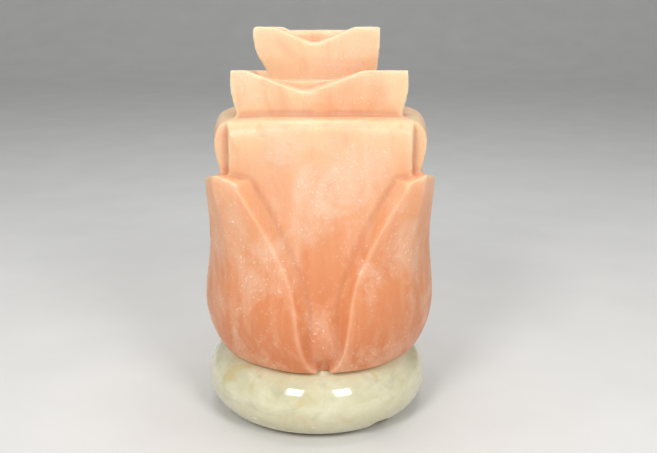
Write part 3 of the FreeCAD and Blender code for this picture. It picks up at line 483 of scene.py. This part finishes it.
def spread(values, ends, count, passes):
    """Values at the corners, averaged with their neighbours a number of times."""
    for _ in range(passes):
        total = np.bincount(ends[:, 0], values[ends[:, 1]], len(values))
        total += np.bincount(ends[:, 1], values[ends[:, 0]], len(values))
        values = (values + total) / (count + 1)
    return values


def read_rows(items, field, width, kind=float):
    """One field of all corners or edges of a mesh, a row for each."""
    values = np.zeros(len(items) * width, kind)
    items.foreach_get(field, values)
    return values.reshape(-1, width)


def carved_mesh(source, low, high):
    """A fine even mesh of the crystal, worked over by hand: its edges are rubbed round and
    chipped, its faces sink in a little unevenly, and its foot spreads onto the stone. The
    edges and the hollows are marked on it: the edges for the chips and for the paler wear and
    painted highlight of the salt, the hollows for its painted shade."""
    blank = bpy.data.objects.new("blank", source.copy())
    COLLECTION.objects.link(blank)
    weld = blank.modifiers.new("weld", "WELD")
    weld.merge_threshold = WELD
    grid = blank.modifiers.new("grid", "REMESH")
    grid.mode = "VOXEL"
    grid.voxel_size = CRYSTAL_GRID
    rub = blank.modifiers.new("rub", "SMOOTH")
    rub.factor = 0.5
    rub.iterations = RUB_PASSES
    bpy.context.view_layer.update()
    mesh = bpy.data.meshes.new_from_object(
        blank.evaluated_get(bpy.context.evaluated_depsgraph_get()))
    bpy.data.objects.remove(blank)

    points = read_rows(mesh.vertices, "co", 3)
    normals = read_rows(mesh.vertex_normals, "vector", 3)
    ends = read_rows(mesh.edges, "vertices", 2, int)
    count = np.bincount(ends.ravel(), minlength=len(points)).astype(float)

    outside = np.hypot(points[:, 0], points[:, 1]) > BORE_ROOM
    widening = 1 + outside * FOOT_SPREAD * np.exp((low[2] - points[:, 2]) / FOOT_FADE)
    points[:, :2] *= widening[:, None]

    fair = np.stack([spread(points[:, k], ends, count, FAIR_PASSES) for k in range(3)], 1)
    bulge = spread(np.einsum("ij,ij->i", points - fair, normals), ends, count, BULGE_PASSES)
    edge = np.clip(bulge / EDGE_BULGE - EDGE_START, 0, 1)
    edge = spread(edge, ends, count, EDGE_FADE)
    hollow = np.clip(-bulge / HOLLOW_BULGE - HOLLOW_START, 0, 1)

    depth = np.zeros(len(points))
    for index, point in enumerate(points):
        for size, amount, stretch in CARVING:
            spot = Vector((point[0] / size, point[1] / size, point[2] / (size * stretch)))
            depth[index] += amount * (0.5 + 0.5 * noise.noise(spot + Vector((size, 7, 3))))
    chips = np.array([noise.noise(Vector(point) / CHIP_SIZE) for point in points])
    depth += CHIP_DEPTH * edge * np.clip(chips, 0, 1)
    points -= normals * depth[:, None]
    points = np.clip(points, np.array(low), np.array(high))
    mesh.vertices.foreach_set("co", points.ravel())
    for name, values in (("edge", edge), ("hollow", hollow)):
        layer = mesh.attributes.new(name, "FLOAT", "POINT")
        layer.data.foreach_set("value", values.astype(np.float32))
    mesh.update()
    return mesh


def add_crystal(material):
    low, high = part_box("salt_crystal")
    mesh = carved_mesh(NODES["salt_crystal"].data, low, high)
    new_piece("carved_crystal", mesh, "root", material, "salt_crystal")


# ---------------------------------------------------------------- threads and fasteners

def thread_phase(angle, z, pitch):
    """How far a point lies along a thread's pitch, 0 to 1."""
    return (z / pitch - angle / (2 * math.pi)) % 1


def add_felt_pads(material):
    """Three punched felt discs with a soft, slightly uneven edge."""
    mesh = bmesh.new()
    for low, high in islands("felt_pads"):
        centre = (low + high) / 2
        radius = (high.x - low.x) / 2
        soft, fuzz_share = 0.18 * MM, 0.03

        def fuzz(r, angle, z):
            ripple = noise.noise(Vector((math.cos(angle), math.sin(angle), z / MM)) * 5)
            return r * (1 - fuzz_share * (0.5 + 0.5 * ripple) * (r > radius * 0.8)), z

        outline = [(0, low.z), (radius - soft, low.z), (radius, low.z + soft),
                   (radius, high.z - soft), (radius - soft, high.z), (0, high.z)]
        add_turned(mesh, dense(outline, 0.5 * MM), 48, centre.xy, fuzz)
    add_piece("felt_discs", mesh, "root", material, "felt_pads")


def cross_recess(centre_radius, depth, face):
    """Shape function that sinks a cross into a flat face at a height, upwards."""
    half_width = centre_radius * 0.16

    def shape(r, angle, z):
        x, y = abs(r * math.cos(angle)), abs(r * math.sin(angle))
        arm = 1 - smooth_step(min(x, y), half_width * 0.7, half_width * 1.2)
        reach = 1 - smooth_step(max(x, y), centre_radius * 0.5, centre_radius * 0.68)
        return r, z + depth * arm * reach * (abs(z - face) < 0.15 * MM)
    return shape


def add_base_screws(material):
    """Pan-headed screws with a cross recess and a coarse thread."""
    pitch, thread_depth = 1.6 * MM, 0.45 * MM
    head_height, recess_depth, shank = 2.6 * MM, 1.5 * MM, 2.0 * MM
    plain_shank, plain_tip = 2.0 * MM, 0.2 * MM  # without thread
    flat, rounded, bulge = 0.72, 0.28, 0.3  # of the head, as shares of its radius
    mesh = bmesh.new()
    for low, high in islands("base_screws"):
        centre = (low + high) / 2
        head = (high.x - low.x) / 2
        head_top = low.z + head_height
        recess = cross_recess(head, recess_depth, low.z)

        def thread(r, angle, z):
            if z < head_top + plain_shank or z > high.z - plain_tip:
                return recess(r, angle, z)
            phase = thread_phase(angle, z, pitch)
            crest = max(0.0, 1 - abs(phase - 0.5) * 3.2)
            return max(r - thread_depth + thread_depth * crest, 0.05 * MM), z

        face = dense([(0, low.z), (head * flat, low.z)], 0.18 * MM)
        dome = [(head * (flat + rounded * math.sin(turn)),
                 low.z + head * bulge * (1 - math.cos(turn)))
                for turn in (0.4, 0.8, 1.2, math.pi / 2)]
        shaft = dense([(shank, head_top), (shank, high.z - shank * 2), (0, high.z)],
                      pitch / 8)
        outline = face + dome + [(head, head_top)] + shaft
        add_turned(mesh, outline, 40, centre.xy, thread)
    add_piece("threaded_base_screws", mesh, "root", material, "base_screws")


def add_washers(material):
    """Punched washers with the rolled edge of a die cut."""
    mesh = bmesh.new()
    for low, high in islands("screw_washers"):
        centre = (low + high) / 2
        radius, hole, roll = (high.x - low.x) / 2, 2.1 * MM, 0.25 * MM
        outline = [(hole, high.z - roll), (hole, low.z), (radius - roll, low.z),
                   (radius, low.z + roll), (radius, high.z), (hole + roll, high.z),
                   (hole, high.z - roll)]
        add_turned(mesh, outline, 48, centre.xy)
    add_piece("punched_washers", mesh, "root", material, "screw_washers")


def add_nipple(material):
    """Hollow M10 x 1 stud."""
    low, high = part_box("threaded_nipple")
    radius, bore = (high[0] - low[0]) / 2, 3.6 * MM
    pitch, depth, chamfer = 1.0 * MM, 0.55 * MM, 0.5 * MM
    core = bore + 0.1 * MM  # the thread cuts no deeper

    def thread(r, angle, z):
        if r < core:
            return r, z
        phase = thread_phase(angle, z, pitch)
        cut = depth * abs(2 * phase - 1)
        return max(min(r, radius - cut), core), z

    outline = [(bore, low[2]), (radius - chamfer, low[2]), (radius, low[2] + chamfer),
               (radius, high[2] - chamfer), (radius - chamfer, high[2]), (bore, high[2])]
    mesh = bmesh.new()
    add_turned(mesh, dense(outline, pitch / 8), 64, shape=thread)
    add_turned(mesh, dense([(bore, high[2]), (bore, low[2])], 2 * MM), 64)
    bmesh.ops.remove_doubles(mesh, verts=mesh.verts, dist=WELD)
    add_piece("hollow_stud", mesh, "holder", material, "threaded_nipple")


def add_locknut(material):
    """Hexagon nut with its corners turned off at both faces."""
    low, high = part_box("nipple_locknut")
    across = 14.0 * MM
    bore = 5.08 * MM
    corner = across / math.sqrt(3)
    turned_off = 0.9 * MM
    face = across / 2 - 0.2 * MM  # radius of the flat ring at each end
    bore_wall = 0.3 * MM

    def hexagon(r, angle, z):
        if r < bore + bore_wall:
            return r, z
        side = (angle % (math.pi / 3)) - math.pi / 6
        return min(r, across / 2 / math.cos(side)), z

    outline = [(bore, low[2]), (face, low[2]), (corner, low[2] + turned_off),
               (corner, high[2] - turned_off), (face, high[2]), (bore, high[2]),
               (bore, low[2])]
    mesh = bmesh.new()
    add_turned(mesh, dense(outline, 0.25 * MM), 180, shape=hexagon)
    bmesh.ops.remove_doubles(mesh, verts=mesh.verts, dist=WELD)
    piece = add_piece("hexagon_nut", mesh, "holder", material, "nipple_locknut")
    for polygon in piece.data.polygons:
        polygon.use_smooth = False


def add_terminal_screws(material):
    """Cheese-headed screws with a straight slot."""
    head_height, shank, pitch = 1.6 * MM, 1.5 * MM, 0.5 * MM
    slot_half, slot_depth, thread_depth = 0.35 * MM, 0.8 * MM, 0.25 * MM
    mesh = bmesh.new()
    for low, high in islands("terminal_screws"):
        centre = (low + high) / 2
        head = (high.x - low.x) / 2
        head_top = low.z + head_height

        def shape(r, angle, z):
            if z < low.z + 0.05 * MM:
                across = abs(r * math.sin(angle))
                slot = 1 - smooth_step(across, slot_half * 0.9, slot_half * 1.15)
                return r, z + slot_depth * slot
            if z > head_top + 0.3 * MM and r > 0.4 * MM:
                return r - thread_depth * abs(2 * thread_phase(angle, z, pitch) - 1), z
            return r, z

        outline = dense([(0, low.z), (head * 0.93, low.z)], 0.12 * MM)
        outline += [(head, low.z + 0.2 * MM), (head, head_top)]
        outline += dense([(shank, head_top), (shank, high.z - shank), (0, high.z)], pitch / 6)
        add_turned(mesh, outline, 72, centre.xy, shape)
    add_piece("slotted_screws", mesh, "holder", material, "terminal_screws")


CAP_PITCH = 2.82 * MM  # rolled thread of a 14 mm screw cap
CAP_STEP = CAP_PITCH / 12


def rolled(radius, depth, low, high):
    """Radius of a round rolled thread that runs out at both ends."""
    def at(angle, z):
        fade = smooth_step(z, low, low + CAP_PITCH / 2) * (
            1 - smooth_step(z, high - CAP_PITCH / 2, high))
        wave = 0.5 - 0.5 * math.cos(2 * math.pi * (z / CAP_PITCH) - angle)
        return radius - depth * (1 - wave) * fade
    return at


def add_screw_shell(material):
    """The holder's shell of thin brass, rolled to a round thread."""
    low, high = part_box("screw_shell")
    outer, inner, eye = 7.65 * MM, 7.2 * MM, 5.6 * MM
    sheet, floor = 0.2 * MM, 0.45 * MM
    thread = rolled(outer, outer - inner - sheet, low[2] + 1.0 * MM, high[2] - 0.8 * MM)

    def shape(r, angle, z):
        if r < inner - 0.1 * MM:
            return r, z
        wall = thread(angle, z)
        return (wall if r > (outer + inner) / 2 else wall - sheet), z

    outline = [(eye, low[2]), (outer, low[2]), (outer, high[2]), (inner, high[2]),
               (inner, low[2] + floor), (eye, low[2] + floor), (eye, low[2])]
    mesh = bmesh.new()
    add_turned(mesh, dense(outline, CAP_STEP), 72, shape=shape)
    bmesh.ops.remove_doubles(mesh, verts=mesh.verts, dist=WELD)
    add_piece("rolled_shell", mesh, "holder", material, "screw_shell")


def add_bulb_cap(material):
    """The bulb's screw cap with its rolled thread and a crimped neck."""
    low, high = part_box("bulb_cap")
    radius = (high[0] - low[0]) / 2
    thread = rolled(radius, 0.5 * MM, low[2] + 1.2 * MM, high[2] - 3.0 * MM)
    wall, taper = 0.3 * MM, 1.2 * MM
    crimps, crimp_depth = 4, 0.18 * MM
    crimp_height = high[2] - 1.6 * MM

    def shape(r, angle, z):
        if z < low[2] + taper * 0.9:
            return r, z
        inside = r < radius - wall * 0.5
        pinch = crimp_depth * math.exp(-((z - crimp_height) / (0.5 * MM)) ** 2)
        pinch *= math.exp(-((((angle / (2 * math.pi) * crimps) % 1) - 0.5) / 0.08) ** 2)
        return min(r, thread(angle, z) - wall * inside) - (0 if inside else pinch), z

    narrow = radius - taper
    outline = [(0, low[2]), (narrow, low[2]), (radius, low[2] + taper), (radius, high[2]),
               (radius - wall, high[2]), (radius - wall, low[2] + taper + wall),
               (narrow - wall, low[2] + wall), (0, low[2] + wall)]
    mesh = bmesh.new()
    add_turned(mesh, dense(outline, CAP_STEP), 96, shape=shape)
    add_piece("threaded_cap", mesh, "bulb", material, "bulb_cap")


def add_filament(material):
    """A fine coil that arches between the two leads."""
    low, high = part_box("bulb_filament")
    wire_room = (high[1] - low[1]) / 2
    arch = (high[0] - low[0]) / 2 - wire_room
    turns, steps, wire = 46, 12, 0.045 * MM
    coil = wire_room - wire
    curve = bpy.data.curves.new("coiled_filament", "CURVE")
    curve.dimensions = "3D"
    curve.bevel_depth = wire
    curve.bevel_resolution = 2
    spline = curve.splines.new("POLY")
    spline.points.add(turns * steps)
    for i, point in enumerate(spline.points):
        along = math.pi * i / (turns * steps)
        spin = 2 * math.pi * i / steps
        reach = arch + coil * math.cos(spin)
        point.co = (-reach * math.cos(along), coil * math.sin(spin),
                    low[2] + reach * math.sin(along), 1)
    piece = bpy.data.objects.new("coiled_filament", curve)
    COLLECTION.objects.link(piece)
    curve.materials.append(material)
    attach(piece, "bulb")
    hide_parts("bulb_filament")


# ---------------------------------------------------------------- the whole lamp

def finish_solid(node, material):
    """Gives a solid that stays as it is its material."""
    data = NODES[node].data
    data.materials.clear()
    data.materials.append(material)


def main():
    add_camera()
    add_studio()
    add_floor()

    steel = brushed("zinc_plated_steel", (214, 214, 210), (168, 168, 166), 0.26)
    spring_steel = brushed("spring_steel", (196, 198, 200), (146, 148, 152), 0.22, (1, 1, 14))
    brass = brushed("brass", (222, 190, 118), (176, 140, 74), 0.24)
    nickel = brushed("nickel_plate", (220, 214, 200), (186, 180, 166), 0.18)
    solder = brushed("solder", (186, 186, 184), (138, 138, 138), 0.35, (1, 1, 1))
    tungsten = brushed("tungsten", (120, 118, 114), (82, 80, 78), 0.4)
    lead_wire = brushed("lead_wire", (190, 168, 140), (150, 128, 100), 0.3, (1, 1, 10))
    phenolic = moulded("black_phenolic", (30, 27, 25), (19, 17, 16), 0.32, 0.5, 0.03)
    ceramic = moulded("steatite", (238, 234, 222), (224, 218, 204), 0.3, 0.6, 0.03,
                      Subsurface_Weight=0.1, Subsurface_Scale=1 * MM)
    nylon = moulded("grey_nylon", (176, 178, 176), (160, 162, 160), 0.42, 0.4, 0.04,
                    Subsurface_Weight=0.15, Subsurface_Scale=1 * MM)
    vitrite = moulded("black_glass", (22, 20, 24), (12, 11, 14), 0.12, 0.8, 0.02)

    add_crystal(salt())
    for add, material in (
        (add_felt_pads, felt()), (add_base_screws, steel), (add_washers, steel),
        (add_nipple, steel), (add_locknut, steel), (add_terminal_screws, brass),
        (add_screw_shell, brass), (add_bulb_cap, nickel), (add_filament, tungsten),
    ):
        add(material)
    for node, material in (
        ("stone_base", marble()), ("screw_plugs", nylon), ("clip_plate", spring_steel),
        ("clip_arm_1", spring_steel), ("clip_arm_2", spring_steel),
        ("clip_arm_3", spring_steel), ("holder_cap", phenolic),
        ("holder_sleeve", phenolic), ("holder_insert", ceramic),
        ("centre_contact", brass), ("bulb_contact", solder), ("bulb_insulator", vitrite),
        ("bulb_glass", glass("clear_glass", (252, 252, 252), 0.0)),
        ("bulb_stem", glass("stem_glass", (246, 250, 248), 0.02)),
        ("bulb_leads", lead_wire),
    ):
        finish_solid(node, material)


main()
bpy.context.view_layer.update()
